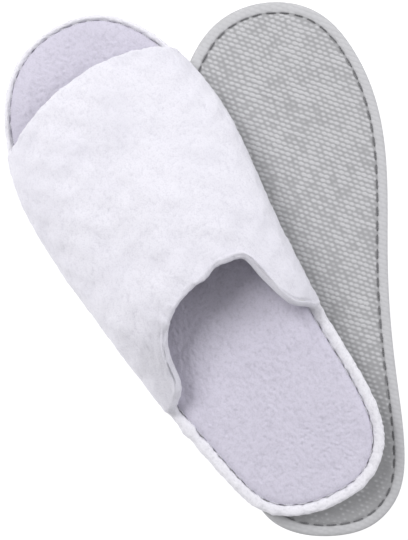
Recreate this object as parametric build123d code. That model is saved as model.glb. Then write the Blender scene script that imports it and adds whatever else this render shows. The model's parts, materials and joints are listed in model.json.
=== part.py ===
"""A pair of padded spa slippers, open at the toe and at the heel, laid one across the other.

Each slipper is drawn once, as the left one: x runs to the inner side of the foot, y from heel to toe
and z up from the ground. The right one is its mirror image, turned over so that its sole shows, and
the left one leans across it with the rim of its toe on the ground.
"""

from build123d import *
import os

os.makedirs("parts", exist_ok=True)

# ---- driving dimensions, millimetres ----
SOLE_LENGTH = 285.0
SOLE_MIDDLE = (0.0, 146.0)  # the point that each slipper is turned and placed about
OUTSOLE = 1.0  # grey anti-slip fabric
FOAM = 4.0  # EVA sheet
SPONGE = 2.4  # soft insole foam
COVER = 1.0  # towelling insole cover
WELT_WIDTH = 5.6  # padded rim outside the stitch line
WELT_RISE = 0.4  # how far the rim stands above the insole
THREAD = 0.8  # width of the two rows of sole stitching
STITCH_GAP = 1.0  # width of the sewn groove between rim and insole
THREAD_DEPTH = 0.4

# ---- the upper: three layers over the instep ----
SHELL = 1.4  # outer velour
PADDING = 2.2
LINING = 0.6
EDGE_INSET = 0.15  # from the rim's outer side to the foot of the upper
BULGE = 0.3  # how far the upper swells past its foot
# (place along the foot, height)
CROWN = ((70, 14), (92, 29), (112, 41), (134, 46), (156, 43.5), (192, 38), (228, 31), (262, 23))

# ---- the bending line of the bare heel end, just behind the upper ----
FLEX_Y = 84.0

# ---- how the pair lies ----
LEFT_YAW, RIGHT_YAW = 31.45, 7.5  # both toes point a little to the left
LEFT_PLACE = (-8.3, 3.6, 0.0)
RIGHT_PLACE = (48.8, 3.6, -7.5)
RIGHT_ROLL = 7.5  # the turned-over slipper lies less steeply than the one on it
LEAN = 19.7  # slope of the upright slipper's sole, down to where the rim of its toe meets the ground
LEAN_TOWARDS = -4.1  # the low side's bearing, in degrees round from -x towards -y

SOLE_TOP = OUTSOLE + FOAM
WELT_TOP = SOLE_TOP + SPONGE + COVER + WELT_RISE

# The sole's edge, round from the heel up the outer side and back down the inner side.
OUTLINE = (
    (4, 0), (-32.6, 15.6), (-42.2, 44), (-49, 86), (-54, 142.5), (-57.3, 192), (-53.8, 227),
    (-43.4, 255.4), (-25.5, 276.5), (3, SOLE_LENGTH), (30.5, 276.5), (46.4, 255.4), (55.2, 227),
    (56.5, 195), (50.3, 142.5), (47.3, 108), (46.6, 74), (45.7, 40), (38.9, 16), (24, 3),
)
# The upper's two free edges seen from above, each from the outer side to the inner side.
MOUTH = (
    (-66, 84), (-50, 85.5), (-42, 89), (-37, 95), (-35, 103.5), (-32.5, 112), (-28, 120.5), (-22, 126.2),
    (-14, 131), (3, 134.8), (19, 136), (26, 132.5), (29, 124.5), (30.4, 117), (32, 110), (35, 102.5),
    (40, 97), (50, 92), (66, 88),
)
TOE_EDGE = ((-66, 234), (-44, 243), (-20, 250.5), (4, 254), (26, 252), (46, 245.5), (66, 236))

EDGE_POINTS = 40  # how finely the outline is followed where it is drawn in
ABOVE = 100.0  # taller than any part of a slipper


def outline(inset=0.0):
    """The sole's outline as a face, drawn in by a distance."""
    edge = Spline(*OUTLINE, periodic=True)
    if inset:
        places = [i / EDGE_POINTS for i in range(EDGE_POINTS)]
        inward = [Vector((edge % t).Y, -(edge % t).X) for t in places]
        edge = Spline(*[(edge @ t) + inset * way for t, way in zip(places, inward)], periodic=True)
    return make_face(edge)


def slab(face, low, high):
    """A flat layer of one height over a face."""
    return extrude(Pos(0, 0, low) * face, amount=high - low)


def ring(outer, inner, low, high):
    """A band that follows the sole's edge between two distances in from it."""
    return slab(outline(outer), low, high) - slab(outline(inner), low, high)


def sole_layers():
    """The layers from the ground up, and the two rows of stitching that hold them together."""
    groove = WELT_WIDTH + STITCH_GAP
    row = WELT_WIDTH + (STITCH_GAP - THREAD) / 2
    channel = ring(row, row + THREAD, 0, THREAD_DEPTH)
    return {
        "outsole": slab(outline(), 0, OUTSOLE) - channel,
        "sole_foam": slab(outline(), OUTSOLE, SOLE_TOP),
        "insole_sponge": slab(outline(WELT_WIDTH), SOLE_TOP, SOLE_TOP + SPONGE),
        "insole_cover": slab(outline(groove), SOLE_TOP + SPONGE, SOLE_TOP + SPONGE + COVER),
        "rim_welt": ring(0, WELT_WIDTH, SOLE_TOP, WELT_TOP),
        "insole_stitching": ring(row, row + THREAD, SOLE_TOP + SPONGE, SOLE_TOP + SPONGE + THREAD_DEPTH),
        "outsole_stitching": channel,
    }


def sole_width(y):
    """The sole's outer and inner x at a place along the foot."""
    across = outline().intersect(Edge.make_line((-ABOVE, y), (ABOVE, y)))
    box = across.bounding_box() if hasattr(across, "bounding_box") else Compound(across).bounding_box()
    return box.min.X, box.max.X


def arch(y, height, inset):
    """One cross-section of the space under a surface of the upper."""
    low, high = sole_width(y)
    middle, foot = (low + high) / 2, (high - low) / 2 - EDGE_INSET - inset
    swell, rise = foot + BULGE, height - WELT_TOP - inset
    side = [(foot, 0), (swell, 0.26 * rise), (0.86 * swell, 0.66 * rise), (0.48 * swell, 0.92 * rise)]
    points = [(-x, z) for x, z in side] + [(0, rise)] + side[::-1]
    top = Spline(*[(x, z) for x, z in points])
    face = make_face(top + Line((foot, 0), (-foot, 0)))
    return Plane(origin=(middle, y, WELT_TOP), x_dir=(1, 0, 0), z_dir=(0, -1, 0)) * face


def dome(inset):
    """Everything under one surface of the upper, along its whole length."""
    return loft([arch(y, height, inset) for y, height in CROWN])


def upper_layers():
    """The upper's shell, padding and lining, cut to the mouth and the toe opening."""
    plan = make_face(Spline(*MOUTH) + Line(MOUTH[-1], TOE_EDGE[-1]) + Spline(*TOE_EDGE[::-1])
                     + Line(TOE_EDGE[0], MOUTH[0]))
    between = slab(plan, 0, ABOVE)
    depths = (0, SHELL, SHELL + PADDING, SHELL + PADDING + LINING)
    surfaces = [dome(depth) & between for depth in depths]
    names = ("upper_shell", "upper_padding", "upper_lining")
    return {name: surfaces[i] - surfaces[i + 1] for i, name in enumerate(names)}


def halves(layer):
    """A layer of the sole in front of the bending line, and behind it."""
    front = Pos(0, FLEX_Y + SOLE_LENGTH, 0) * Box(SOLE_LENGTH, 2 * SOLE_LENGTH, ABOVE)
    heel = Pos(0, FLEX_Y - SOLE_LENGTH, 0) * Box(SOLE_LENGTH, 2 * SOLE_LENGTH, ABOVE)
    return {"front": layer & front, "heel": layer & heel}


def slipper():
    """Every piece of the left slipper by name, standing on the ground with its heel at y 0."""
    pieces = {f"{name}_{end}": part for name, layer in sole_layers().items() for end, part in halves(layer).items()}
    return pieces | upper_layers()


MIDDLE = Pos(-SOLE_MIDDLE[0], -SOLE_MIDDLE[1], 0)
LEANING = Rot(0, 0, LEAN_TOWARDS) * Rot(0, -LEAN, 0) * Rot(0, 0, -LEAN_TOWARDS)
LEFT = LEANING * Pos(*LEFT_PLACE) * Rot(0, 0, LEFT_YAW) * MIDDLE
RIGHT = LEANING * Pos(*RIGHT_PLACE) * Rot(0, 0, RIGHT_YAW) * Rot(0, RIGHT_ROLL, 0) * MIDDLE


def pair():
    """Both slippers as they lie, with the origin under the middle of the pair."""
    left = slipper()
    placed = {f"left_{name}": LEFT * part for name, part in left.items()}
    placed |= {f"right_{name}": RIGHT * mirror(part, about=Plane.XY) for name, part in left.items()}
    box = Compound(list(placed.values())).bounding_box()
    ground = Pos(-(box.min.X + box.max.X) / 2, -(box.min.Y + box.max.Y) / 2, -box.min.Z)
    return {name: ground * part for name, part in placed.items()}, ground


PARTS, GROUND = pair()
for node, shape in PARTS.items():
    export_step(shape, f"parts/{node}.step")
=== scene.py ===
"""A pair of white spa slippers, open at the toe and the heel: one upright, leaning across the other,
which is turned over.

Each slipper is sewn from the same patterns, in its own millimetres: x to the inner side of the foot,
y from heel to toe and z up from the ground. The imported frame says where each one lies.
"""

from __future__ import annotations

import json
import logging
import math
from dataclasses import dataclass, field
from enum import Enum
from typing import Sequence

import bmesh
import bpy
import numpy as np
from mathutils import Matrix, Vector

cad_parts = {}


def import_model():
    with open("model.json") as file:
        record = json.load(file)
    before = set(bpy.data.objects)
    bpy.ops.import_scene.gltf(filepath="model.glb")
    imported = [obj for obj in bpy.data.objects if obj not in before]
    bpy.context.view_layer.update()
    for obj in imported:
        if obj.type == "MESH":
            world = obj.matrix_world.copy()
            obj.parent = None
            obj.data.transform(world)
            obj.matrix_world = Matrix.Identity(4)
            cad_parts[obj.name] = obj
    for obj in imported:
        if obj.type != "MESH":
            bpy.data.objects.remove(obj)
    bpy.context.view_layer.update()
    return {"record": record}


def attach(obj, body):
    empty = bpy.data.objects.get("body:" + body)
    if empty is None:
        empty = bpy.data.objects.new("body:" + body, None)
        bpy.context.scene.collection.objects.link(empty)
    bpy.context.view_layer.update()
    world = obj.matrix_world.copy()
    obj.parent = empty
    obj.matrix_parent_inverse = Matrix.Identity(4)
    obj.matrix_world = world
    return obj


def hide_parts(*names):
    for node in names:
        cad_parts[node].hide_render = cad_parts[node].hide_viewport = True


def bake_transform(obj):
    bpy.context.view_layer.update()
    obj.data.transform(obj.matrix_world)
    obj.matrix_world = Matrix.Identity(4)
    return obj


LOG = logging.getLogger("slippers")
MM = 0.001
MOUNT_Y, MOUNT_Z = 40.0, 8.4  # where the mount on an insole is, along the foot and up, in millimetres
SOLE_MIDDLE_Y = 146.0
RIM_TOP = 8.8  # the height of the rim, which the upper stands on
STITCH_INSET = 6.1  # how far in from the sole's edge both rows of stitches run
STITCH_PITCH = 7.5
TOE_SHARE = 0.5  # the rim's width round the toe, next to its width elsewhere
Colour = tuple[float, float, float]


class Side(Enum):
    """Which foot a slipper is for."""

    LEFT = "left"
    RIGHT = "right"


class Row(Enum):
    """The two rows of thread that hold the sole's layers together."""

    INSOLE = "insole_stitching"
    OUTSOLE = "outsole_stitching"


# ---------------------------------------------------------------- curves and places


@dataclass
class SmoothCurve:
    """A cubic curve through points, the same kind as the pattern's own curves."""

    points: np.ndarray
    closed: bool = False
    knots: np.ndarray | None = None
    bends: np.ndarray = field(init=False)

    def __post_init__(self) -> None:
        """Solves for the second derivative at each point."""
        pts = np.asarray(self.points, float)
        if self.closed:
            pts = np.vstack([pts, pts[:1]])
        if self.knots is None:
            step = np.linalg.norm(np.diff(pts, axis=0), axis=1)
            self.knots = np.concatenate([[0.0], np.cumsum(step)])
        step = np.diff(self.knots)
        count = len(pts)
        matrix, right = np.zeros((count, count)), np.zeros_like(pts)
        slope = np.diff(pts, axis=0) / step[:, None]
        for i in range(1, count - 1):
            matrix[i, i - 1 : i + 2] = step[i - 1], 2 * (step[i - 1] + step[i]), step[i]
            right[i] = 6 * (slope[i] - slope[i - 1])
        if self.closed:
            matrix[0, [0, 1, -2]] = 2 * (step[0] + step[-1]), step[0], step[-1]
            right[0] = 6 * (slope[0] - slope[-1])
            matrix[-1, 0], matrix[-1, -1] = 1.0, -1.0
        else:
            matrix[0, 0] = matrix[-1, -1] = 1.0
        self.bends = np.linalg.solve(matrix, right)
        self.points = pts

    def at(self, place: np.ndarray) -> np.ndarray:
        """Points on the curve.

        Args:
            place: distances along the knots, from 0 to the last one.

        Returns:
            One point for each place.
        """
        k = np.clip(np.searchsorted(self.knots, place, side="right") - 1, 0, len(self.knots) - 2)
        h = self.knots[k + 1] - self.knots[k]
        a = ((self.knots[k + 1] - place) / h)[:, None]
        b = 1 - a
        lift = ((a**3 - a) * self.bends[k] + (b**3 - b) * self.bends[k + 1]) * (h[:, None] ** 2) / 6
        return a * self.points[k] + b * self.points[k + 1] + lift

    def even(self, start: float, end: float, count: int) -> np.ndarray:
        """Evenly spaced points along a stretch of the curve.

        Args:
            start: where the stretch starts, along the knots.
            end: where it ends.
            count: how many points, with both ends.

        Returns:
            The points.
        """
        fine = self.at(np.linspace(start, end, count * 8))
        run = np.concatenate([[0.0], np.cumsum(np.linalg.norm(np.diff(fine, axis=0), axis=1))])
        places = np.linspace(0, run[-1], count)
        return np.column_stack([np.interp(places, run, fine[:, i]) for i in range(fine.shape[1])])


@dataclass(frozen=True)
class Placement:
    """Where a slipper lies: its origin and its three directions in the row's frame, in metres."""

    origin: np.ndarray
    across: np.ndarray
    along: np.ndarray
    up: np.ndarray

    @classmethod
    def read(cls, record: dict, side: Side) -> Placement:
        """Works a slipper's place out from the mount on its insole and its heel hinge.

        Args:
            record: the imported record.
            side: the foot.

        Returns:
            The slipper's placement.
        """
        mount = next(m for m in record["mounts"] if m["name"] == f"{side.value}_insole_heel")
        hinge = next(j for j in record["behaviour"]["joints"] if j["name"] == f"{side.value}_heel_bend")
        up = np.array(mount["axis"], float)
        up /= np.linalg.norm(up)
        turn = np.array(hinge["axis"], float)
        along = np.cross(up, -turn)
        along /= np.linalg.norm(along)
        across = turn if side is Side.RIGHT else -turn
        origin = np.array(mount["pos_m"], float) - along * MOUNT_Y * MM - up * MOUNT_Z * MM
        return cls(origin, across, along, up)

    def row(self, points: Sequence) -> np.ndarray:
        """Takes slipper points in millimetres to row points in metres."""
        p = np.asarray(points, float) * MM
        return self.origin + p[:, :1] * self.across + p[:, 1:2] * self.along + p[:, 2:3] * self.up


def wander(points: np.ndarray, size: float, seed: int, waves: int = 14) -> np.ndarray:
    """A smooth random height over points, from -1 to 1 or so.

    Args:
        points: places in millimetres.
        size: how far apart its hills are, in millimetres.
        seed: which surface.
        waves: how many waves are added up.

    Returns:
        One height for each point.
    """
    rng = np.random.default_rng(seed)
    total = np.zeros(points.shape[:-1])
    for _ in range(waves):
        way = rng.normal(size=points.shape[-1])
        way *= 2 * math.pi / size / np.linalg.norm(way) * rng.uniform(0.6, 1.5)
        total += np.sin(points @ way + rng.uniform(0, 2 * math.pi))
    return total / math.sqrt(waves)


def pile(places: np.ndarray, tuft: float, seed: int) -> np.ndarray:
    """The uneven height of the tufts of a cloth.

    Args:
        places: where on the cloth, two numbers each, in millimetres.
        tuft: how far apart the tufts are, in millimetres.
        seed: which cloth.

    Returns:
        Heights with a spread of 1.
    """
    repeat = 512  # tufts each way before the same ones come back
    table = np.random.default_rng(seed).normal(size=(repeat, repeat))
    cell = np.floor(places / tuft).astype(int)
    part = places / tuft - cell
    part = part * part * (3 - 2 * part)
    x0, y0 = cell[..., 0] % repeat, cell[..., 1] % repeat
    x1, y1 = (x0 + 1) % repeat, (y0 + 1) % repeat
    low = table[x0, y0] * (1 - part[..., 0]) + table[x1, y0] * part[..., 0]
    high = table[x0, y1] * (1 - part[..., 0]) + table[x1, y1] * part[..., 0]
    heights = low * (1 - part[..., 1]) + high * part[..., 1]
    return heights / heights.std()


def smooth_step(value: np.ndarray, low: float, high: float) -> np.ndarray:
    """0 below low, 1 above high, with a soft turn between."""
    t = np.clip((value - low) / (high - low), 0, 1)
    return t * t * (3 - 2 * t)


# ---------------------------------------------------------------- meshes


@dataclass
class Sewing:
    """The rows of points that one piece is made of, in slipper millimetres.

    depth says how far down in the pile, a gap or a seam each point lies, from 0 to 1; the pile finishes
    paint shade by it, and the outsole's finish leaves its dots out by it. lay is the place that the cloth's
    weave is worked out from.
    """

    points: np.ndarray  # rows, columns, 3
    depth: np.ndarray | None = None
    lay: np.ndarray | None = None
    round_columns: bool = True
    round_rows: bool = False

    def faces(self) -> np.ndarray:
        """The faces between neighbouring rows and columns.

        Returns:
            The four corners of each.
        """
        rows, columns = self.points.shape[:2]
        index = np.arange(rows * columns).reshape(rows, columns)
        if self.round_columns:
            index = np.hstack([index, index[:, :1]])
        if self.round_rows:
            index = np.vstack([index, index[:1]])
        corners = index[:-1, :-1], index[:-1, 1:], index[1:, 1:], index[1:, :-1]
        return np.stack([c.ravel() for c in corners], 1)


@dataclass
class Tailor:
    """Turns sewings into Blender pieces where one slipper lies."""

    side: Side
    place: Placement
    merge: float = 0.00001  # metres; points closer than this become one
    sliver: float = 0.000005  # metres; faces thinner than this go

    def full_name(self, name: str) -> str:
        """A piece's name with its side."""
        return f"{self.side.value}_{name}"

    def piece(
        self, name: str, sewing: Sewing, finish: bpy.types.Material, caps: Sequence = ()
    ) -> bpy.types.Object:
        """Makes one piece.

        Args:
            name: what the piece is, without its side.
            sewing: its points.
            finish: its material.
            caps: faces that close its ends, as more corners.

        Returns:
            The new object.
        """
        flat = sewing.points.reshape(-1, 3)
        mesh = bpy.data.meshes.new(self.full_name(name))
        faces = sewing.faces().tolist() + [list(c) for c in caps]
        mesh.from_pydata(self.place.row(flat).tolist(), [], faces)
        depth = np.zeros(len(flat)) if sewing.depth is None else sewing.depth.ravel()
        depths = mesh.attributes.new("depth", "FLOAT", "POINT")
        depths.data.foreach_set("value", depth.astype(np.float32))
        lay = flat if sewing.lay is None else sewing.lay.reshape(-1, 3)
        lays = mesh.attributes.new("lay", "FLOAT_VECTOR", "POINT")
        lays.data.foreach_set("vector", lay.astype(np.float32).ravel())
        work = bmesh.new()
        work.from_mesh(mesh)
        bmesh.ops.remove_doubles(work, verts=work.verts, dist=self.merge)
        bmesh.ops.dissolve_degenerate(work, edges=work.edges, dist=self.sliver)
        bmesh.ops.recalc_face_normals(work, faces=work.faces)
        work.to_mesh(mesh)
        work.free()
        mesh.shade_smooth()
        mesh.materials.append(finish)
        made = bpy.data.objects.new(mesh.name, mesh)
        bpy.context.scene.collection.objects.link(made)
        return made


# ---------------------------------------------------------------- the patterns


@dataclass
class SolePattern:
    """The sole's outline, followed round in steps from the heel up the outer side and back."""

    columns: int
    outline: tuple = (
        (4, 0), (-32.6, 15.6), (-42.2, 44), (-49, 86), (-54, 142.5), (-57.3, 192), (-53.8, 227),
        (-43.4, 255.4), (-25.5, 276.5), (3, 285), (30.5, 276.5), (46.4, 255.4), (55.2, 227),
        (56.5, 195), (50.3, 142.5), (47.3, 108), (46.6, 74), (45.7, 40), (38.9, 16), (24, 3),
    )
    toe: int = 9  # which point is the toe's end
    reach: float = 10.0  # how far in the edge's own rows go before the middle's rows start
    spine: tuple[float, float] = (46.0, 234.0)  # where the middle line runs from and to
    seam: float = 6.6  # how far in the stitched groove reaches
    narrowing: tuple[float, float] = (215.0, 262.0)  # where along the foot the rim gets narrower
    edge: np.ndarray = field(init=False)
    inward: np.ndarray = field(init=False)
    middle: np.ndarray = field(init=False)
    outer: np.ndarray = field(init=False)
    inner: np.ndarray = field(init=False)

    def __post_init__(self) -> None:
        """Follows the outline and finds the middle line."""
        curve = SmoothCurve(self.outline, closed=True)
        half = self.columns // 2
        outer = curve.even(0.0, curve.knots[self.toe], half + 1)
        inner = curve.even(curve.knots[self.toe], curve.knots[-1], half + 1)
        self.edge = np.vstack([outer[:-1], inner[:-1]])
        ahead = np.roll(self.edge, -1, 0) - np.roll(self.edge, 1, 0)
        ahead /= np.linalg.norm(ahead, axis=1)[:, None]
        self.inward = np.column_stack([ahead[:, 1], -ahead[:, 0]])
        self.outer, self.inner = outer, inner[::-1]
        rim = self.in_from_edge(self.reach)
        partner = rim[(-np.arange(self.columns)) % self.columns]
        y = np.clip((rim[:, 1] + partner[:, 1]) / 2, *self.spine)
        self.middle = np.column_stack([self.middle_x(y), y])

    def in_from_edge(self, inset: np.ndarray | float) -> np.ndarray:
        """The outline drawn in by a distance, which may differ round the sole."""
        return self.edge + self.inward * np.reshape(inset, (-1, 1))

    def sides(self, y: np.ndarray) -> tuple[np.ndarray, np.ndarray]:
        """The sole's outer and inner x at places along the foot."""
        return tuple(np.interp(y, half[:, 1], half[:, 0]) for half in (self.outer, self.inner))

    def middle_x(self, y: np.ndarray) -> np.ndarray:
        """The x of the sole's middle at places along the foot."""
        low, high = self.sides(y)
        return (low + high) / 2

    def drawn_in(self, inset: float, toe_share: float) -> np.ndarray:
        """How far in a row runs in each column, where the rim gets narrower round the toe.

        Args:
            inset: how far in it runs along the rest of the sole.
            toe_share: how much of that is left at the toe.

        Returns:
            One distance for each column.
        """
        share = 1 - (1 - toe_share) * smooth_step(self.edge[:, 1], *self.narrowing)
        if inset <= self.seam:
            return inset * share
        past = (inset - self.seam) / (self.reach - self.seam)
        return self.seam * share + past * (self.reach - self.seam * share)

    def band(self, profile: Sequence[tuple[float, float]], toe_share: float = 1.0) -> np.ndarray:
        """Rows that follow the edge.

        Args:
            profile: for each row, how far in it is and its height.
            toe_share: how much of each distance is left at the toe.

        Returns:
            Points as rows, columns, 3.
        """
        rows = [(self.in_from_edge(self.drawn_in(r, toe_share)), z) for r, z in profile]
        return np.stack([np.column_stack([row, np.full(self.columns, z)]) for row, z in rows])

    def middle_rows(self, height: float, rows: int) -> np.ndarray:
        """Rows over the sole's middle, from the reach to the middle line.

        Args:
            height: their z.
            rows: how many rows, with the middle line's.

        Returns:
            Points as rows, columns, 3.
        """
        rim = self.in_from_edge(self.reach)
        shares = np.linspace(0, 1, rows + 1)[1:]
        return np.stack([
            np.column_stack([rim * (1 - s) + self.middle * s, np.full(self.columns, height)]) for s in shares
        ])

    def slab(
        self, profile: Sequence[tuple[float, float]], rows: tuple[int, int], toe_share: float = 1.0
    ) -> np.ndarray:
        """A closed layer: its underside from the middle line out, its edge, and its top back in.

        Args:
            profile: distances from the edge and heights, from the reach on the underside, round the edge,
                to the reach on top.
            rows: how many rows there are over the middle of the underside, and of the top.
            toe_share: how much of each distance from the edge is left at the toe.

        Returns:
            Points as rows, columns, 3.
        """
        under = self.middle_rows(profile[0][1], rows[0])[::-1]
        over = self.middle_rows(profile[-1][1], rows[1])
        return np.concatenate([under, self.band(profile, toe_share), over])

    def run(self) -> np.ndarray:
        """How far round the edge each column is, in millimetres."""
        step = np.linalg.norm(self.edge - np.roll(self.edge, 1, 0), axis=1)
        return np.cumsum(step) - step[0]


@dataclass
class UpperPattern:
    """The vault of the upper: the same arches, mouth and toe edge as the CAD layers have."""

    sole: SolePattern
    columns: int = 190
    edge_inset: float = 0.15
    bulge: float = 0.3
    thickness: float = 4.2  # of shell, padding and lining together
    crown: tuple = (  # place along the foot, height
        (70, 14), (92, 29), (112, 41), (134, 46), (156, 43.5), (192, 38), (228, 31), (262, 23),
    )
    mouth: tuple = (
        (-66, 84), (-50, 85.5), (-42, 89), (-37, 95), (-35, 103.5), (-32.5, 112), (-28, 120.5), (-22, 126.2),
        (-14, 131), (3, 134.8), (19, 136), (26, 132.5), (29, 124.5), (30.4, 117), (32, 110), (35, 102.5),
        (40, 97), (50, 92), (66, 88),
    )
    toe_edge: tuple = ((-66, 234), (-44, 243), (-20, 250.5), (4, 254), (26, 252), (46, 245.5), (66, 236))
    weights: np.ndarray = field(init=False)
    start: np.ndarray = field(init=False)
    end: np.ndarray = field(init=False)

    def __post_init__(self) -> None:
        """Works out how much each of an arch's nine points counts in each column, and the two edges.

        The columns are evenly spaced on one arch, a little in front of the mouth.
        """
        arch_y, samples = 150.0, 4000
        arch = self.nine_points(np.array([arch_y]), np.array([0.0]))[0]
        step = np.linalg.norm(np.diff(arch, axis=0), axis=1)
        knots = np.concatenate([[0.0], np.cumsum(step)])
        curve = SmoothCurve(arch, knots=knots)
        along = np.linspace(0, knots[-1], samples)
        fine = curve.at(along)
        run = np.concatenate([[0.0], np.cumsum(np.linalg.norm(np.diff(fine, axis=0), axis=1))])
        places = np.interp(np.linspace(0, run[-1], self.columns), run, along)
        self.weights = SmoothCurve(np.eye(len(arch)), knots=knots).at(places)
        self.start = self.crossing(self.mouth)
        self.end = self.crossing(self.toe_edge)

    def nine_points(self, y: np.ndarray, inset: np.ndarray) -> np.ndarray:
        """The points that an arch passes through.

        Args:
            y: places along the foot.
            inset: how far under the outer surface, the same shape.

        Returns:
            Nine points for each place, x from the middle and z from the rim.
        """
        low, high = self.sole.sides(y)
        foot = (high - low) / 2 - self.edge_inset - inset
        swell = foot + self.bulge
        rise = self.height(y) - RIM_TOP - inset
        none = np.zeros_like(rise)
        half = [(foot, none), (swell, 0.26 * rise), (0.86 * swell, 0.66 * rise), (0.48 * swell, 0.92 * rise)]
        points = [(-x, z) for x, z in half] + [(none, rise)] + half[::-1]
        return np.stack([np.stack(p, -1) for p in points], -2)

    def height(self, y: np.ndarray) -> np.ndarray:
        """How high the vault is at places along the foot."""
        places = np.array(self.crown, float)
        heights = SmoothCurve(places[:, 1:], knots=places[:, 0])
        return heights.at(np.clip(np.ravel(y), places[0, 0], places[-1, 0])).reshape(np.shape(y))

    def surface(self, y: np.ndarray, inset: np.ndarray) -> np.ndarray:
        """Points of the vault.

        Args:
            y: places along the foot, rows by columns.
            inset: how far under the outer surface, the same shape.

        Returns:
            Points as rows, columns, 3.
        """
        xz = np.einsum("ck,rckd->rcd", self.weights, self.nine_points(y, inset))
        return np.stack([self.sole.middle_x(y) + xz[..., 0], y, RIM_TOP + xz[..., 1]], -1)

    def crossing(self, edge: Sequence[tuple[float, float]]) -> np.ndarray:
        """Where each column meets an edge that is drawn from above.

        Args:
            edge: x and y of its points, from the outer side to the inner side.

        Returns:
            One y for each column.
        """
        samples, rounds = 2000, 60
        curve = SmoothCurve(edge)
        drawn = curve.at(np.linspace(0, curve.knots[-1], samples))
        y = np.full((1, self.columns), drawn[samples // 2, 1])
        for _ in range(rounds):
            x = self.surface(y, np.zeros_like(y))[..., 0]
            y = 0.5 * y + 0.5 * np.interp(x, drawn[:, 0], drawn[:, 1])
        return y[0]

    def strip(self, profile: np.ndarray) -> tuple[np.ndarray, np.ndarray, np.ndarray]:
        """Rows over the vault.

        Args:
            profile: for each row, how far it is from the mouth, how far from the toe edge, the share
                between the two, and how far under the outer surface.

        Returns:
            The points, the places along the foot and the insets.
        """
        from_mouth, from_toe, share, inset = (profile[:, i : i + 1] for i in range(4))
        start, end = self.start + from_mouth, self.end - from_toe
        y = start * (1 - share) + end * share
        depth = np.broadcast_to(inset, y.shape)
        return self.surface(y, depth), y, depth

    def outward(self, points: np.ndarray) -> np.ndarray:
        """The direction away from the foot.

        Args:
            points: rows of points of the vault.

        Returns:
            A unit vector for each point.
        """
        way = np.cross(np.gradient(points, axis=0), np.gradient(points, axis=1))
        way /= np.maximum(np.linalg.norm(way, axis=-1, keepdims=True), 1e-9)
        inside = np.stack([
            self.sole.middle_x(points[..., 1]), points[..., 1], np.full(points.shape[:2], RIM_TOP)
        ], -1)
        out = np.sum(way * (points - inside), -1, keepdims=True) >= 0
        return np.where(out, way, -way)


# ---------------------------------------------------------------- finishes


@dataclass
class Value:
    """A number that changes over a surface, so that shader maths reads as an expression."""

    bench: Bench
    socket: bpy.types.NodeSocket

    def _with(self, operation: str, first: Value | float, second: Value | float) -> Value:
        """Adds one Math node."""
        made = self.bench.node("ShaderNodeMath", {"operation": operation}, {0: first, 1: second})
        return Value(self.bench, made)

    def __add__(self, other: Value | float) -> Value:
        """self + other."""
        return self._with("ADD", self, other)

    def __radd__(self, other: float) -> Value:
        """other + self."""
        return self._with("ADD", other, self)

    def __sub__(self, other: Value | float) -> Value:
        """self - other."""
        return self._with("SUBTRACT", self, other)

    def __rsub__(self, other: float) -> Value:
        """other - self."""
        return self._with("SUBTRACT", other, self)

    def __mul__(self, other: Value | float) -> Value:
        """self * other."""
        return self._with("MULTIPLY", self, other)

    def __rmul__(self, other: float) -> Value:
        """other * self."""
        return self._with("MULTIPLY", other, self)

    def wave(self) -> Value:
        """The sine of the value."""
        return self._with("SINE", self, 0.0)

    def ramp(self, low: float, high: float) -> Value:
        """0 at low, 1 at high, and held between them."""
        made = self.bench.node(
            "ShaderNodeMapRange", {"clamp": True, "interpolation_type": "SMOOTHSTEP"},
            {"Value": self, "From Min": low, "From Max": high, "To Min": 0.0, "To Max": 1.0},
        )
        return Value(self.bench, made)


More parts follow.
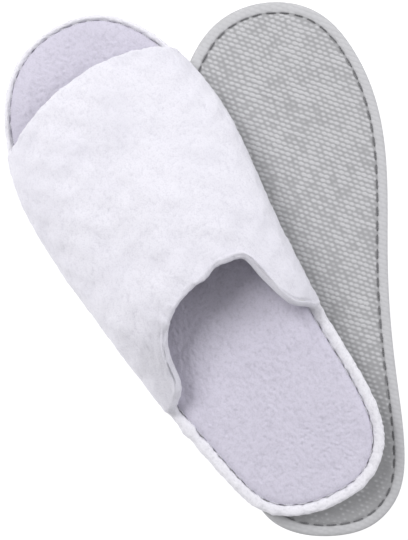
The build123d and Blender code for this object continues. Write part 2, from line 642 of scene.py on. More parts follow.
@dataclass
class Bench:
    """The node tree of one material while it's being put together."""

    material: bpy.types.Material

    @classmethod
    def start(cls, name: str) -> Bench:
        """An empty material with nodes."""
        material = bpy.data.materials.new(name)
        material.use_nodes = True
        material.node_tree.nodes.clear()
        return cls(material)

    def node(self, kind: str, settings: dict, inputs: dict, output: int | str = 0) -> bpy.types.NodeSocket:
        """Adds a node.

        Args:
            kind: the node's type.
            settings: its own properties, set first.
            inputs: the values or links of its sockets, by name or number.
            output: which of its outputs to hand back.

        Returns:
            The output socket.
        """
        made = self.material.node_tree.nodes.new(kind)
        for key, value in settings.items():
            setattr(made, key, value)
        for key, value in inputs.items():
            source = value.socket if isinstance(value, Value) else value
            if isinstance(source, bpy.types.NodeSocket):
                self.material.node_tree.links.new(source, made.inputs[key])
            else:
                made.inputs[key].default_value = source
        return made.outputs[output]

    def depth(self) -> Value:
        """How deep in the pile or a seam the surface lies, which the pile finishes paint as shade."""
        settings = {"attribute_name": "depth", "attribute_type": "GEOMETRY"}
        return Value(self, self.node("ShaderNodeAttribute", settings, {}, "Fac"))

    def lay(self) -> bpy.types.NodeSocket:
        """The place on the cloth, in millimetres."""
        settings = {"attribute_name": "lay", "attribute_type": "GEOMETRY"}
        return self.node("ShaderNodeAttribute", settings, {}, "Vector")

    def plan(self) -> tuple[Value, Value]:
        """The first two numbers of the place on the cloth."""
        split = self.node("ShaderNodeSeparateXYZ", {}, {0: self.lay()}).node
        return Value(self, split.outputs[0]), Value(self, split.outputs[1])

    def noise(self, size: float, detail: float = 3.0) -> Value:
        """Cloudy noise.

        Args:
            size: how far apart its hills are, in millimetres.
            detail: how many finer layers it has.

        Returns:
            The noise, about 0.5 in the middle.
        """
        inputs = {"Vector": self.lay(), "Scale": 1 / size, "Detail": detail, "Roughness": 0.6}
        return Value(self, self.node("ShaderNodeTexNoise", {"noise_dimensions": "3D"}, inputs))

    def tufts(self, size: float) -> Value:
        """The distance from the middle of the nearest tuft, loop or foam cell."""
        settings = {"voronoi_dimensions": "3D", "feature": "SMOOTH_F1"}
        inputs = {"Vector": self.lay(), "Scale": 1 / size, "Randomness": 1.0, "Smoothness": 0.35}
        return Value(self, self.node("ShaderNodeTexVoronoi", settings, inputs, "Distance"))

    def mix(
        self, share: Value, first: Colour | bpy.types.NodeSocket, second: Colour | bpy.types.NodeSocket
    ) -> bpy.types.NodeSocket:
        """A colour between two."""
        ends = [end if isinstance(end, bpy.types.NodeSocket) else (*end, 1.0) for end in (first, second)]
        return self.node("ShaderNodeMix", {"data_type": "RGBA"}, {0: share, 6: ends[0], 7: ends[1]}, 2)

    def close(
        self, colour: bpy.types.NodeSocket, rough: Value, height: Value, rise: float, fixed: dict
    ) -> None:
        """Joins a surface with fine relief to the material's output.

        Args:
            colour: base colour.
            rough: roughness.
            height: height of the fine relief, about 0 to 1.
            rise: how tall that relief is, in metres.
            fixed: values that are the same all over, by socket.
        """
        bump = self.node("ShaderNodeBump", {}, {"Strength": 1.0, "Distance": rise, "Height": height})
        self.show({"Base Color": colour, "Roughness": rough, "Normal": bump, **fixed})

    def show(self, inputs: dict) -> None:
        """Makes the shader from its values and links, by socket, and joins it to the output."""
        shader = self.node("ShaderNodeBsdfPrincipled", {}, inputs)
        out = self.material.node_tree.nodes.new("ShaderNodeOutputMaterial")
        self.material.node_tree.links.new(shader, out.inputs["Surface"])


@dataclass(frozen=True)
class PileFinish:
    """Towelling or velour: soft fibres that are lighter at their tips, with painted shade between them and
    in the seams and hollows that the depth attribute marks.
    """

    name: str
    tip: Colour
    # painted shade between the tufts, in seams and in hollows
    root_shade: Colour
    cloud: Colour
    tuft: float  # millimetres from one tuft to the next
    rise: float  # millimetres of fine relief
    sheen: float = 0.25

    def material(self) -> bpy.types.Material:
        """The finish as a material."""
        bench = Bench.start(self.name)
        tufts, fibres = bench.tufts(self.tuft), bench.noise(self.tuft * 0.45, 4.0)
        deep = bench.depth()
        # Painted shade: the gaps between tufts, the thin fibres and the deep places (seams, the rim's
        # underside, low tufts) darken the colour.
        gaps, thin = tufts.ramp(0.35, 0.95) * 0.55, (1 - fibres.ramp(0.25, 0.75)) * 0.3
        between = (gaps + thin + deep * 0.8).ramp(0.0, 1.35)
        clouds = bench.noise(34.0, 2.0).ramp(0.35, 0.7)
        tips = bench.mix(clouds, self.tip, self.cloud)
        colour = bench.mix(between, tips, self.root_shade)
        height = (1 - tufts) * 0.7 + fibres * 0.6
        fixed = {"Sheen Weight": self.sheen, "Sheen Roughness": 0.6, "Specular IOR Level": 0.15}
        bench.close(colour, 0.86 + 0.12 * fibres, height, self.rise * MM, fixed)
        return bench.material


@dataclass(frozen=True)
class DottedFinish:
    """The anti-slip outsole fabric: a fine diagonal weave, with painted shade in its gaps, and raised vinyl
    dots.
    """

    name: str
    dot: Colour
    ground: Colour
    # painted shade in the weave's gaps, and real dirt in random clouds
    dirt_and_shade: Colour
    thread: float = 0.62  # millimetres from one thread of the weave to the next
    turned: tuple[float, float] = (0.91, 0.42)  # the direction of the warp, 25 degrees round

    def material(self) -> bpy.types.Material:
        """The finish as a material."""
        bench = Bench.start(self.name)
        dots = (1 - bench.depth()).ramp(0.25, 0.8)
        x, y = bench.plan()
        most, least = (part * 2 * math.pi / self.thread for part in self.turned)
        warp, weft = (x * most - y * least).wave(), (x * least + y * most).wave()
        weave = warp * weft * 0.5 + 0.5
        grain, clouds = bench.noise(0.5, 4.0), bench.noise(22.0, 3.0).ramp(0.35, 0.72)
        # Painted shade: the weave's low gaps are painted darker; the grain and the clouds darken it at
        # random, as real dirt.
        ground = bench.mix((1 - weave) * 0.5 + (1 - grain.ramp(0.3, 0.7)) * 0.35, self.ground, self.dirt_and_shade)
        ground = bench.mix(clouds * 0.22, ground, self.dirt_and_shade)
        colour = bench.mix(dots, ground, self.dot)
        height = weave * 0.35 * (1 - dots) + grain * 0.5
        bench.close(colour, 0.82 - 0.22 * dots + 0.1 * grain, height, 0.12 * MM, {"Specular IOR Level": 0.3})
        return bench.material


@dataclass(frozen=True)
class FoamFinish:
    """Closed-cell or open-cell foam, with its cut cells showing."""

    name: str
    skin: Colour
    cell: Colour
    size: float  # millimetres across a cell
    rough: float = 0.7

    def material(self) -> bpy.types.Material:
        """The finish as a material."""
        bench = Bench.start(self.name)
        cells, grain = bench.tufts(self.size), bench.noise(self.size * 3, 3.0)
        colour = bench.mix(cells.ramp(0.2, 0.8) * 0.7 + grain.ramp(0.4, 0.8) * 0.3, self.skin, self.cell)
        bench.close(colour, self.rough + 0.15 * grain, cells, 0.1 * MM, {"Specular IOR Level": 0.3})
        return bench.material


@dataclass(frozen=True)
class WovenFinish:
    """A plain woven cloth."""

    name: str
    raised: Colour
    sunk: Colour
    thread: float = 0.5  # millimetres from one thread to the next

    def material(self) -> bpy.types.Material:
        """The finish as a material."""
        bench = Bench.start(self.name)
        x, y = bench.plan()
        pace = 2 * math.pi / self.thread
        weave = (x * pace).wave() * (y * pace).wave() * 0.5 + 0.5
        fibres = bench.noise(0.35, 4.0)
        # The sunk threads get the darker colour, as painted shade in the weave.
        colour = bench.mix((1 - weave) * 0.6 + fibres.ramp(0.3, 0.8) * 0.3, self.raised, self.sunk)
        fixed = {"Sheen Weight": 0.15, "Sheen Roughness": 0.5, "Specular IOR Level": 0.2}
        bench.close(colour, 0.8 + 0.15 * fibres, weave + fibres * 0.4, 0.1 * MM, fixed)
        return bench.material


@dataclass(frozen=True)
class ThreadFinish:
    """Twisted sewing thread."""

    name: str
    ply: Colour
    groove: Colour
    twist: float = 1.1  # millimetres along the thread from one turn to the next

    def material(self) -> bpy.types.Material:
        """The finish as a material. The lay holds the distance along the thread and the turn round it."""
        bench = Bench.start(self.name)
        along, turn = bench.plan()
        plies = (along * (2 * math.pi / self.twist) + turn * 2.0).wave() * 0.5 + 0.5
        fluff = bench.noise(0.3, 3.0)
        # The grooves between the plies get the darker colour, as painted shade.
        colour = bench.mix(1 - plies, self.ply, self.groove)
        bench.close(colour, 0.6 + 0.2 * fluff, plies + fluff * 0.3, 0.12 * MM, {"Specular IOR Level": 0.4})
        return bench.material


@dataclass
class Finishes:
    """Every finish of the pair, made once and shared."""

    velour: bpy.types.Material = field(init=False)
    towelling: bpy.types.Material = field(init=False)
    rim: bpy.types.Material = field(init=False)
    dotted: bpy.types.Material = field(init=False)
    eva: bpy.types.Material = field(init=False)
    sponge: bpy.types.Material = field(init=False)
    lining: bpy.types.Material = field(init=False)
    threads: dict[Row, bpy.types.Material] = field(init=False)

    def __post_init__(self) -> None:
        """Makes the materials."""
        # The darker second colour of each pile finish is painted shade.
        self.velour = PileFinish(
            "white_velour", (0.77, 0.76, 0.825), (0.64, 0.63, 0.70), (0.73, 0.72, 0.79), 0.8, 0.14
        ).material()
        self.towelling = PileFinish(
            "towelling", (0.635, 0.61, 0.715), (0.52, 0.50, 0.59), (0.61, 0.585, 0.69), 0.9, 0.16, 0.15
        ).material()
        self.rim = PileFinish(
            "rim_towelling", (0.83, 0.82, 0.875), (0.68, 0.67, 0.725), (0.79, 0.78, 0.835), 0.9, 0.2, 0.2
        ).material()
        # The outsole's third colour is painted shade in the weave's gaps and real dirt in clouds.
        self.dotted = DottedFinish(
            "dotted_grey_fabric", (0.55, 0.55, 0.57), (0.40, 0.40, 0.415), (0.31, 0.31, 0.32)
        ).material()
        self.eva = FoamFinish("white_eva_foam", (0.74, 0.74, 0.75), (0.60, 0.60, 0.62), 0.35).material()
        self.sponge = FoamFinish("soft_foam", (0.80, 0.80, 0.77), (0.58, 0.58, 0.55), 0.7, 0.85).material()
        self.lining = WovenFinish("lining_cloth", (0.66, 0.66, 0.68), (0.46, 0.46, 0.48)).material()
        self.threads = {
            Row.INSOLE: ThreadFinish("white_thread", (0.74, 0.73, 0.79), (0.45, 0.44, 0.50)).material(),
            Row.OUTSOLE: ThreadFinish("grey_thread", (0.26, 0.26, 0.27), (0.10, 0.10, 0.11)).material(),
        }


# ---------------------------------------------------------------- the sole


@dataclass
class Sole:
    """The flat layers: dotted outsole, EVA sheet, sponge and towelling insole cover."""

    tailor: Tailor
    pattern: SolePattern
    finishes: Finishes
    rib_turn: float = -25.0  # degrees from the sole's x to the rows of dots
    rib_pitch: float = 2.4  # from one row of dots to the next
    dot_pitch: float = 3.4  # from dot to dot along a row
    dot_rise: float = 0.36
    tuft_rise: float = 0.1

    def dots(self, points: np.ndarray) -> np.ndarray:
        """How high the vinyl dots stand.

        Args:
            points: places on the outsole.

        Returns:
            One height for each, from 0 in the gaps to 1, and up to 1.2 on the tallest dots.
        """
        turn = math.radians(self.rib_turn)
        drift = 0.35 * wander(points[..., :2], 30.0, 5)
        along = points[..., 0] * math.cos(turn) + points[..., 1] * math.sin(turn) + drift
        over = -points[..., 0] * math.sin(turn) + points[..., 1] * math.cos(turn) + 0.5 * drift
        rib = np.floor(over / self.rib_pitch)
        along = along + rib * self.dot_pitch / 2
        in_row = 0.5 + 0.5 * np.cos(2 * math.pi * along / self.dot_pitch)
        in_rib = np.abs(np.sin(math.pi * over / self.rib_pitch))
        worn = 1 + 0.22 * np.clip(pile(np.stack([along, over], -1), 2.6, 6), -1.5, 1.5)
        patches = 1 + 0.06 * np.clip(wander(points[..., :2], 30.0, 7), -1, 1)
        return np.clip((0.5 + 0.5 * in_row) * in_rib**0.9 * worn * patches, 0, 1.2)

    def make_outsole(self) -> bpy.types.Object:
        """The outsole: its edge rolls up round the foam, and it's drawn in along the stitches.

        Returns:
            The piece.
        """
        groove = [(9.8, 0.0), (9.0, 0.0), (8.2, 0.0), (7.5, 0.08), (6.9, 0.3), (6.5, 0.5), (6.1, 0.58)]
        groove += [(5.7, 0.5)]
        roll = [(5.3, 0.3), (4.7, 0.1), (4.0, 0.02), (3.3, 0.0), (2.6, 0.02), (2.0, 0.1), (1.4, 0.28)]
        side = [(0.9, 0.5), (0.45, 0.85), (0.15, 1.25), (0.0, 1.7), (0.25, 1.9), (0.6, 1.7)]
        back = [(1.1, 1.3), (1.8, 1.02), (3.0, 0.99), (6.0, 0.99), (9.8, 0.99)]
        inner = 78  # rows over the middle, inside the groove
        rows = self.pattern.slab(groove + roll + side + back, (inner, 8))
        visible = inner + len(groove + roll) + 3  # the rest lies against the foam
        low = rows[:visible]
        high = self.dots(low)
        edge = np.ones(visible)
        past = np.arange(visible - inner)
        edge[inner:] = np.interp(past, [0, 3, 6, 9, 12, past[-1]], [1.0, 0.9, 0.5, 0.75, 0.8, 0.35])
        strength = edge[:, None] * (0.55 + 0.45 * smooth_step(low[..., 1], 25, 120))
        sway = 0.22 * wander(low[..., :2], 38.0, 11) + 0.1 * wander(low[..., :2], 9.0, 12)
        ease = smooth_step(np.arange(visible), visible, visible - 14)[:, None]
        low[..., 2] += (1 - high) * strength * self.dot_rise + np.abs(sway) * ease
        depth = np.zeros(rows.shape[:2])
        depth[:visible] = 1 - high * strength
        stitched = inner + np.argmax([z for _, z in groove])
        seam = np.exp(-(((np.arange(visible) - stitched) / 1.6) ** 2))
        depth[:visible] = np.maximum(depth[:visible], 0.9 * seam[:, None])
        depth[inner + len(groove) : visible] *= 0.45
        depth[visible:] = 0.8
        made = self.tailor.piece("dotted_outsole", Sewing(rows, depth), self.finishes.dotted)
        foam = self.tailor.full_name("eva_sole")
        return made

    def make_foam(self) -> bpy.types.Object:
        """The EVA sheet, whose cut edge shows as a thin line round the sole.

        Returns:
            The piece.
        """
        under = [(9.0, 1.06), (4.0, 1.06)]
        cut = [(1.6, 1.2), (0.75, 1.9), (0.55, 2.4), (0.5, 3.2), (0.55, 4.0), (0.9, 4.6), (1.6, 4.9)]
        top = [(4.0, 4.94), (9.0, 4.94)]
        inner = 10  # rows over the middle, on both faces
        rows = self.pattern.slab(under + cut + top, (inner, inner))
        first = inner + len(under)
        side = rows[first : first + len(cut)]
        side[..., :2] += 0.08 * wander(side, 6.0, 21)[..., None] * self.pattern.inward
        made = self.tailor.piece("eva_sole", Sewing(rows), self.finishes.eva)
        return made

    def make_sponge(self) -> bpy.types.Object:
        """The soft foam under the insole cover, pinched at its edge by the stitching.

        Returns:
            The piece.
        """
        under = [(9.5, 5.0), (8.0, 5.0), (6.6, 5.0)]
        edge = [(5.95, 5.15), (5.85, 5.5), (6.1, 6.0), (6.8, 6.6), (8.0, 7.1), (9.5, 7.3)]
        rows = self.pattern.slab(under + edge, (10, 14), TOE_SHARE)
        made = self.tailor.piece("sponge_layer", Sewing(rows), self.finishes.sponge)
        return made

    def make_cover(self) -> bpy.types.Object:
        """The towelling insole cover, drawn down into the stitched groove round its edge.

        Returns:
            The piece.
        """
        hidden = [(9.5, 7.34), (8.2, 7.2), (7.0, 6.75), (6.4, 6.3), (6.05, 6.25)]
        edge = [(5.95, 6.6), (6.15, 7.0), (6.6, 7.45)]
        top = [(7.1, 7.75), (7.7, 8.0), (8.4, 8.2), (9.2, 8.33), (10.0, 8.4)]
        under = 8  # rows over the middle of its underside
        rows = self.pattern.slab(hidden + edge + top, (under, 74), TOE_SHARE)
        first = under + len(hidden)
        high = rows[first:]
        tufts = pile(high[..., :2], 1.3, 31)
        sway = 0.25 * wander(high[..., :2], 55.0, 32) + 0.12 * wander(high[..., :2], 14.0, 33)
        ease = smooth_step(np.arange(len(high)), 0, 12)[:, None]
        high[..., 2] += tufts * self.tuft_rise * (0.5 + 0.5 * ease) + sway * ease
        depth = np.zeros(rows.shape[:2])
        # Painted shade: the low tufts, and most of all the stitched groove, are marked deep, so the
        # towelling is painted darker there.
        depth[first:] = np.clip(0.18 - 0.22 * tufts, 0, 1)
        seam = np.exp(-(((np.arange(len(rows)) - first) / 1.6) ** 2))
        depth = np.maximum(depth, 0.8 * seam[:, None])
        made = self.tailor.piece("towelling_insole", Sewing(rows, depth), self.finishes.towelling)
        sponge = self.tailor.full_name("sponge_layer")
        return made


@dataclass
class Rim:
    """The padded towelling rim round the insole."""

    tailor: Tailor
    pattern: SolePattern
    finishes: Finishes
    tuft_rise: float = 0.14
    girth: float = 17.0  # the cloth's width from seam to seam
    bare: float = 82.0  # the middle of the stretch behind the upper

    def make(self) -> bpy.types.Object:
        """The rim: a soft roll, puckered by its stitching, and most of all behind the upper.

        Returns:
            The piece.
        """
        loop = [
            (0.5, 4.55), (0.2, 4.9), (0.0, 5.5), (-0.05, 6.2), (0.05, 6.9), (0.35, 7.55), (0.8, 8.1),
            (1.4, 8.5), (2.1, 8.72), (2.8, 8.8), (3.5, 8.72), (4.2, 8.5), (4.8, 8.1), (5.25, 7.6),
            (5.5, 7.1), (5.65, 6.5), (5.6, 5.9), (5.3, 5.4), (4.6, 5.15), (3.4, 5.02), (2.2, 5.0),
            (1.2, 4.95), (0.85, 4.7),
        ]
        rows = self.pattern.band(loop, TOE_SHARE)
        run = self.pattern.run()
        middle = rows.mean(0)
        out = rows - middle
        reach = np.linalg.norm(out, axis=-1, keepdims=True)
        way = out / np.maximum(reach, 1e-6)
        bare = 1 - smooth_step(np.abs(self.pattern.edge[:, 1] - self.bare), 30, 62)
        soft = smooth_step(rows[..., 2], 5.3, 6.6)
        puckers = np.sin(2 * math.pi * run / STITCH_PITCH + 1.3 * wander(self.pattern.edge, 40.0, 41))
        swell = 0.1 * puckers + 0.3 * (0.35 + bare) * wander(self.pattern.edge, 12.0, 42)
        around = np.linspace(0, self.girth, len(rows))[:, None]
        tufts = pile(np.stack(np.broadcast_arrays(run, around), -1), 1.3, 43)
        rows = rows + way * (swell * soft + tufts * self.tuft_rise * soft)[..., None]
        over = rows[..., 2] - (RIM_TOP - 0.02)
        rows[..., 2] -= 0.65 * np.maximum(over, 0)
        # Painted shade: the low tufts and the roll's underside, below about 6.6 mm, are marked deep, so they
        # are painted darker.
        depth = np.clip(0.15 - 0.2 * tufts + 0.5 * smooth_step(-rows[..., 2], -6.6, -5.2), 0, 1)
        made = self.tailor.piece("padded_rim", Sewing(rows, depth, round_rows=True), self.finishes.rim)
        return made


@dataclass
class Stitches:
    """A row of thread: single stitches that dip into the cloth at both ends."""

    tailor: Tailor
    pattern: SolePattern
    finishes: Finishes
    stitch: float = 5.6  # how long a stitch is
    radius: float = 0.36
    sides: int = 8
    steps: int = 9

    def tube(self, first: int) -> list[tuple[int, ...]]:
        """The faces of one stitch.

        Args:
            first: the number of its first point.

        Returns:
            The corners of its sides and of its two ends.
        """
        faces = []
        for k in range(self.steps - 1):
            for j in range(self.sides):
                a, b = first + k * self.sides + j, first + k * self.sides + (j + 1) % self.sides
                faces.append((a, b, b + self.sides, a + self.sides))
        last = first + (self.steps - 1) * self.sides
        faces.append(tuple(range(first, first + self.sides))[::-1])
        faces.append(tuple(range(last, last + self.sides)))
        return faces

    def make(self, row: Row) -> bpy.types.Object:
        """Makes one of the two rows.

        Args:
            row: which of them.

        Returns:
            The row as one piece.
        """
        above = row is Row.INSOLE
        line = self.pattern.in_from_edge(self.pattern.drawn_in(STITCH_INSET, TOE_SHARE if above else 1.0))
        run = np.concatenate([[0.0], np.cumsum(np.linalg.norm(np.roll(line, -1, 0) - line, axis=1))])
        line = np.vstack([line, line[:1]])
        count = round(run[-1] / STITCH_PITCH)
        rest, lift = (6.75, 0.35) if above else (0.45, -0.25)
        rng = np.random.default_rng(51 if above else 52)
        points, lay, faces = [], [], []
        ring = np.arange(self.sides) * 2 * math.pi / self.sides
        for i in range(count):
            middle = (i + 0.5 + rng.uniform(-0.05, 0.05)) * run[-1] / count
            length = self.stitch * rng.uniform(0.92, 1.06)
            side = rng.uniform(-0.12, 0.12)
            first = len(points)
            for share in np.linspace(-1, 1, self.steps):
                place = (middle + share * length / 2) % run[-1]
                ahead = (place + 0.5) % run[-1]
                here, there = (
                    np.array([np.interp(s, run, line[:, k]) for k in (0, 1)]) for s in (place, ahead)
                )
                way = there - here
                way /= np.linalg.norm(way)
                across = np.array([way[1], -way[0]])
                z = rest + lift * (1 - share**4) - (0.0 if abs(share) < 0.9 else math.copysign(0.25, lift))
                size = self.radius * math.sqrt(max(1 - abs(share) ** 6, 0.05))
                for turn in ring:
                    flat = here + across * (side * share + size * math.cos(turn))
                    points.append((flat[0], flat[1], z + size * math.sin(turn)))
                    lay.append((share * length / 2, turn, float(i)))
            faces += self.tube(first)
        sewing = Sewing(np.array(points)[None], lay=np.array(lay)[None], round_columns=False)
        name = "upper_row_stitches" if above else "lower_row_stitches"
        return self.tailor.piece(name, sewing, self.finishes.threads[row], faces)


# ---------------------------------------------------------------- the upper


@dataclass
class Upper:
    """The vamp over the instep: velour turned round its free edges, foam padding and lining."""

    tailor: Tailor
    pattern: UpperPattern
    finishes: Finishes
    shell: float = 1.2  # the velour's thickness
    hem: float = 8.0  # how much of it is turned in at both free edges
    hem_rows: int = 7
    turn_rows: int = 13
    rows_between: int = 128
    width: float = 165.0  # from foot to foot over the vault
    tuft_rise: float = 0.1

    def turned(self, depth: float, reverse: bool) -> list[tuple[float, float, float, float]]:
        """A line through the shell at one depth in its cloth, from hem to hem.

        Args:
            depth: 0 on the cloth's pile side, and the shell's thickness on its back.
            reverse: from the toe's hem to the mouth's.

        Returns:
            For each row: distance from the mouth, distance from the toe edge, share and inset.
        """
        radius = self.pattern.thickness / 2
        far = self.pattern.thickness - depth
        turn = [
            (radius - (radius - depth) * math.sin(a), radius - (radius - depth) * math.cos(a))
            for a in np.linspace(0, math.pi, self.turn_rows)
        ]
        hem = np.linspace(self.hem, radius + 0.6, self.hem_rows)
        mouth = [(s, 0.0, 0.0, far) for s in hem] + [(s, 0.0, 0.0, d) for s, d in turn[::-1]]
        toe = [(0.0, s, 1.0, d) for s, d in turn] + [(0.0, s, 1.0, far) for s in hem[::-1]]
        shares = np.linspace(0, 1, self.rows_between + 2)[1:-1]
        between = [(radius * (1 - s), radius * s, s, depth) for s in shares]
        line = mouth + between + toe
        return line[::-1] if reverse else line

    def caps(self, rounds: Sequence[Sequence[int]]) -> list[list[int]]:
        """Faces that close a strip at both its feet.

        Args:
            rounds: the rows that meet in each face.

        Returns:
            The corners of the faces.
        """
        columns = self.pattern.columns
        outer = [[k * columns for k in row] for row in rounds]
        inner = [[k * columns + columns - 1 for k in row[::-1]] for row in rounds]
        return outer + inner

    def soften(self, points: np.ndarray, y: np.ndarray) -> np.ndarray:
        """Gives the vault its soft hand-made unevenness, the same through all its layers.

        Args:
            points: points of the vault.
            y: their places along the foot.

        Returns:
            The moved points.
        """
        share = np.linspace(0, 1, self.pattern.columns)[None, :]
        foot = np.minimum(share, 1 - share) * self.width
        free = smooth_step(foot, 0, 26)
        plane = np.stack(np.broadcast_arrays(share * self.width, y), -1)
        broad = 0.9 * wander(plane, 52.0, 61, 10) + 0.35 * wander(plane, 17.0, 62, 16)
        gather = np.exp(-foot / 7.0) * smooth_step(foot, 0.0, 2.5)
        puckers = 0.2 * gather * np.sin(2 * math.pi * y / 8.3 + 1.5 * wander(plane, 30.0, 63))
        lip = np.exp(-((y - self.pattern.start) ** 2) / 60.0) + np.exp(-((self.pattern.end - y) ** 2) / 60.0)
        rolled = 0.25 * lip * wander(plane, 13.0, 64) * free
        return points + self.pattern.outward(points) * (broad * free + puckers + rolled)[..., None]

    def make_shell(self) -> bpy.types.Object:
        """The velour, turned in over both free edges.

        Returns:
            The piece.
        """
        profile = np.array(self.turned(0.0, False) + self.turned(self.shell, True))
        _, y, inset = self.pattern.strip(profile)
        across = np.linspace(0, self.width, self.pattern.columns)
        drift = 0.4 * wander(np.stack([across, across], -1), 22.0, 65)
        whole = self.softened(profile, drift)
        half = len(profile) // 2
        down = y[:half] + 2.0 * inset[:half]
        tufts = pile(np.stack(np.broadcast_arrays(across, down), -1), 1.4, 66)
        way = self.pattern.outward(whole[:half])
        inside = self.hem_rows + self.turn_rows // 2 + 1  # rows whose pile side faces the foot
        flip = np.ones(half)
        flip[:inside] = flip[-inside:] = -1.0
        whole[:half] += way * (tufts * self.tuft_rise * flip[:, None])[..., None]
        depth = np.zeros(whole.shape[:2])
        # Painted shade: the low tufts of the pile side are marked deep, so they are painted darker.
        depth[:half] = np.clip(0.12 - 0.16 * tufts, 0, 1)
        sewing = Sewing(whole, depth, round_columns=False, round_rows=True)
        last = len(profile) - 1
        caps = self.caps([(i, i + 1, last - i - 1, last - i) for i in range(half - 1)])
        made = self.tailor.piece("velour_upper", sewing, self.finishes.velour, caps)
        padding = self.tailor.full_name("foam_padding")
        return made

    def softened(self, profile: np.ndarray, drift: np.ndarray | float = 0.0) -> np.ndarray:
        """A strip that turns back on itself, softened as if all of it lay on the outer surface.

        Args:
            profile: the strip's rows, as the pattern takes them.
            drift: how far each column's end at the mouth slips along the foot.

        Returns:
            Its points.
        """
        points, y, _ = self.pattern.strip(profile)
        base, _, _ = self.pattern.strip(np.column_stack([profile[:, :3], np.zeros(len(profile))]))
        order = np.argsort(y[:, self.pattern.columns // 2], kind="stable")
        moved = np.empty_like(base)
        moved[order] = self.soften(base[order], y[order])
        points += moved - base
        points[..., 1] += drift * np.exp(-np.abs(y - self.pattern.start) / 9.0)
        return points

    def layer(
        self, name: str, span: float, depths: tuple[float, float], rows: int, finish: bpy.types.Material
    ) -> bpy.types.Object:
        """A layer inside the shell.

        Args:
            name: the piece's name.
            span: how far from the free edges it stops.
            depths: its two faces' distances under the outer surface.
            rows: how many rows each face has.
            finish: its material.

        Returns:
            The piece.
        """
        shares = np.linspace(0, 1, rows)
        near = [(span * (1 - s), span * s, s, depths[0]) for s in shares]
        far = [(span * (1 - s), span * s, s, depths[1]) for s in shares[::-1]]
        middle, tip = (depths[0] + depths[1]) / 2, span - 0.35 * (depths[1] - depths[0])
        profile = np.array([*near, (0.0, tip, 1.0, middle), *far, (tip, 0.0, 0.0, middle)])
        sewing = Sewing(self.softened(profile), round_columns=False, round_rows=True)
        last = len(profile) - 1
        quads = [(i, i + 1, last - 2 - i, last - 1 - i) for i in range(rows - 1)]
        return self.tailor.piece(
            name, sewing, finish, self.caps([*quads, (rows - 1, rows, rows + 1), (last - 1, last, 0)])
        )

    def make_padding(self) -> bpy.types.Object:
        """The thin foam between velour and lining."""
        made = self.layer("foam_padding", 2.6, (1.45, 2.75), 40, self.finishes.sponge)
        return made

    def make_lining(self) -> bpy.types.Object:
        """The lining, sewn to the velour's turned-in hems."""
        made = self.layer("cloth_lining", self.hem + 0.3, (3.55, 4.1), 60, self.finishes.lining)
        padding = self.tailor.full_name("foam_padding")
        return made


# ---------------------------------------------------------------- a whole slipper


@dataclass
class Slipper:
    """One slipper: its flat layers are baked in place and stand in for the CAD halves, and its upper is
    attached to the slipper's body.
    """

    side: Side
    place: Placement
    finishes: Finishes
    bend_from: float = 90.0  # along the foot, just behind the upper
    bend_to: float = 66.0
    bend_height: float = 5.0

    def bend(self, piece: bpy.types.Object, layer: str) -> None:
        """Bakes a layer of the sole in place and hides the two CAD halves that it stands for.

        Args:
            piece: the layer.
            layer: the CAD layer's name without its side and end.
        """
        ends = self.place.row([(0.0, y, self.bend_height) for y in (self.bend_from, self.bend_to)])
        side = self.side.value
        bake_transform(piece)
        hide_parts(f"{side}_{layer}_front", f"{side}_{layer}_heel")
        LOG.info("%s stands for %s_%s", piece.name, side, layer)

    def fix(self, piece: bpy.types.Object, layer: str) -> None:
        """Fixes a layer of the upper to the slipper, in place of its CAD solid.

        Args:
            piece: the layer.
            layer: the CAD layer's name without its side.
        """
        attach(piece, f"{self.side.value}_slipper")
        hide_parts(f"{self.side.value}_{layer}")
        LOG.info("%s stands for %s_%s", piece.name, self.side.value, layer)

    def make(self) -> None:
        """Makes every piece of the slipper."""
        tailor = Tailor(self.side, self.place)
        fine, coarse = SolePattern(900), SolePattern(480)
        sole = Sole(tailor, fine, self.finishes)
        plain = Sole(tailor, coarse, self.finishes)
        upper = Upper(tailor, UpperPattern(fine), self.finishes)
        stitches = Stitches(tailor, coarse, self.finishes)
        self.bend(plain.make_foam(), "sole_foam")
        self.bend(plain.make_sponge(), "insole_sponge")
        self.bend(sole.make_outsole(), "outsole")
        self.bend(sole.make_cover(), "insole_cover")
        self.bend(Rim(tailor, fine, self.finishes).make(), "rim_welt")
        self.bend(stitches.make(Row.INSOLE), Row.INSOLE.value)
        self.bend(stitches.make(Row.OUTSOLE), Row.OUTSOLE.value)
        self.fix(upper.make_padding(), "upper_padding")
        self.fix(upper.make_shell(), "upper_shell")
        self.fix(upper.make_lining(), "upper_lining")


# ---------------------------------------------------------------- the studio


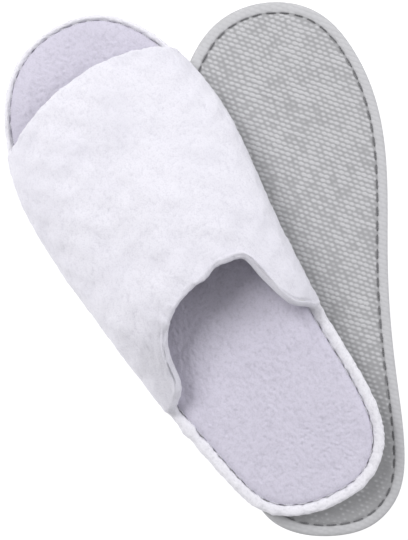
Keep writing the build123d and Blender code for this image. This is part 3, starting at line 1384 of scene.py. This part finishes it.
@dataclass
class Studio:
    """A white table top, soft light and the camera over the upright slipper."""

    place: Placement
    yaw: float = 31.45  # how far the upright slipper is turned in the view, in degrees
    distance: float = 520.0  # from the camera to the rim's height, in millimetres
    lens: float = 67.74
    middle: tuple[float, float] = (8.3, -3.6)  # the view's middle from the slipper's, in millimetres
    floor: float = -0.0009  # just under the lowest pile, in metres
    glow: float = 0.78  # of the floor
    room: float = 0.44  # brightness of the white room

    def make_floor(self) -> None:
        """A plain white floor, which isn't a piece."""
        bench = Bench.start("white_table")
        matt = {"Base Color": (0.3596, 0.3596, 0.3616, 1.0), "Roughness": 0.925, "Specular IOR Level": 0.0}
        bench.show({**matt, "Emission Color": (1.0, 1.0, 1.0, 1.0), "Emission Strength": self.glow})
        mesh = bpy.data.meshes.new("table_top")
        work = bmesh.new()
        bmesh.ops.create_grid(work, x_segments=24, y_segments=24, size=6.0)
        work.to_mesh(mesh)
        work.free()
        mesh.materials.append(bench.material)
        floor = bpy.data.objects.new("table_top", mesh)
        floor.location.z = self.floor
        bpy.context.scene.collection.objects.link(floor)

    def light(
        self, name: str, way: np.ndarray, far: float, size: float, watts: float, colour: Colour
    ) -> None:
        """Adds a square soft light that faces the pair.

        Args:
            name: the light's name.
            way: the direction from the pair to the light.
            far: its distance in metres.
            size: its side in metres.
            watts: its power.
            colour: its colour.
        """
        data = bpy.data.lights.new(name, "AREA")
        data.shape, data.size, data.energy, data.color = "SQUARE", size, watts, colour
        lamp = bpy.data.objects.new(name, data)
        way = Vector(way).normalized()
        lamp.location = way * far
        lamp.rotation_mode = "QUATERNION"
        lamp.rotation_quaternion = way.to_track_quat("Z", "Y")
        bpy.context.scene.collection.objects.link(lamp)

    def axes(self) -> tuple[np.ndarray, np.ndarray, np.ndarray]:
        """The view's right, its top and the way to the camera, in the row's frame."""
        c, s = math.cos(math.radians(self.yaw)), math.sin(math.radians(self.yaw))
        right = c * self.place.across - s * self.place.along
        top = s * self.place.across + c * self.place.along
        return right, top, self.place.up

    def make_lights(self) -> None:
        """A key over the toes, a softer light from the right of the view and a white room."""
        right, top, up = self.axes()
        self.light("key", -0.5 * right + 0.42 * top + 1.0 * up, 1.5, 0.6, 13.0, (1.0, 0.995, 0.99))
        self.light("side", 0.95 * right + 0.4 * top + 0.55 * up, 1.5, 0.9, 9.5, (0.98, 0.985, 1.0))
        world = bpy.data.worlds.new("white_room")
        world.use_nodes = True
        background = world.node_tree.nodes["Background"]
        background.inputs["Color"].default_value = (1.0, 1.0, 1.0, 1.0)
        background.inputs["Strength"].default_value = self.room
        bpy.context.scene.world = world
        bpy.context.scene.view_settings.view_transform = "Standard"

    def make_camera(self) -> None:
        """The camera looks straight down on the upright slipper's insole."""
        right, top, up = self.axes()
        insole = self.place.row([(0.0, SOLE_MIDDLE_Y, RIM_TOP)])[0]
        target = insole + (self.middle[0] * right + self.middle[1] * top) * MM
        data = bpy.data.cameras.new("camera")
        data.sensor_width, data.lens = 36.0, self.lens
        data.clip_start, data.clip_end = 0.02, 20.0
        camera = bpy.data.objects.new("camera", data)
        turn = Matrix((right, top, up)).transposed()
        camera.matrix_world = Matrix.Translation(Vector(target + up * self.distance * MM)) @ turn.to_4x4()
        bpy.context.scene.collection.objects.link(camera)
        bpy.context.scene.camera = camera


def main() -> None:
    """Makes the pair and the studio."""
    logging.basicConfig(level=logging.INFO, format="%(message)s")
    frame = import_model()
    finishes = Finishes()
    places = {side: Placement.read(frame["record"], side) for side in Side}
    for side in Side:
        Slipper(side, places[side], finishes).make()
    studio = Studio(places[Side.LEFT])
    studio.make_floor()
    studio.make_lights()
    studio.make_camera()


if __name__ == "__main__":
    main()
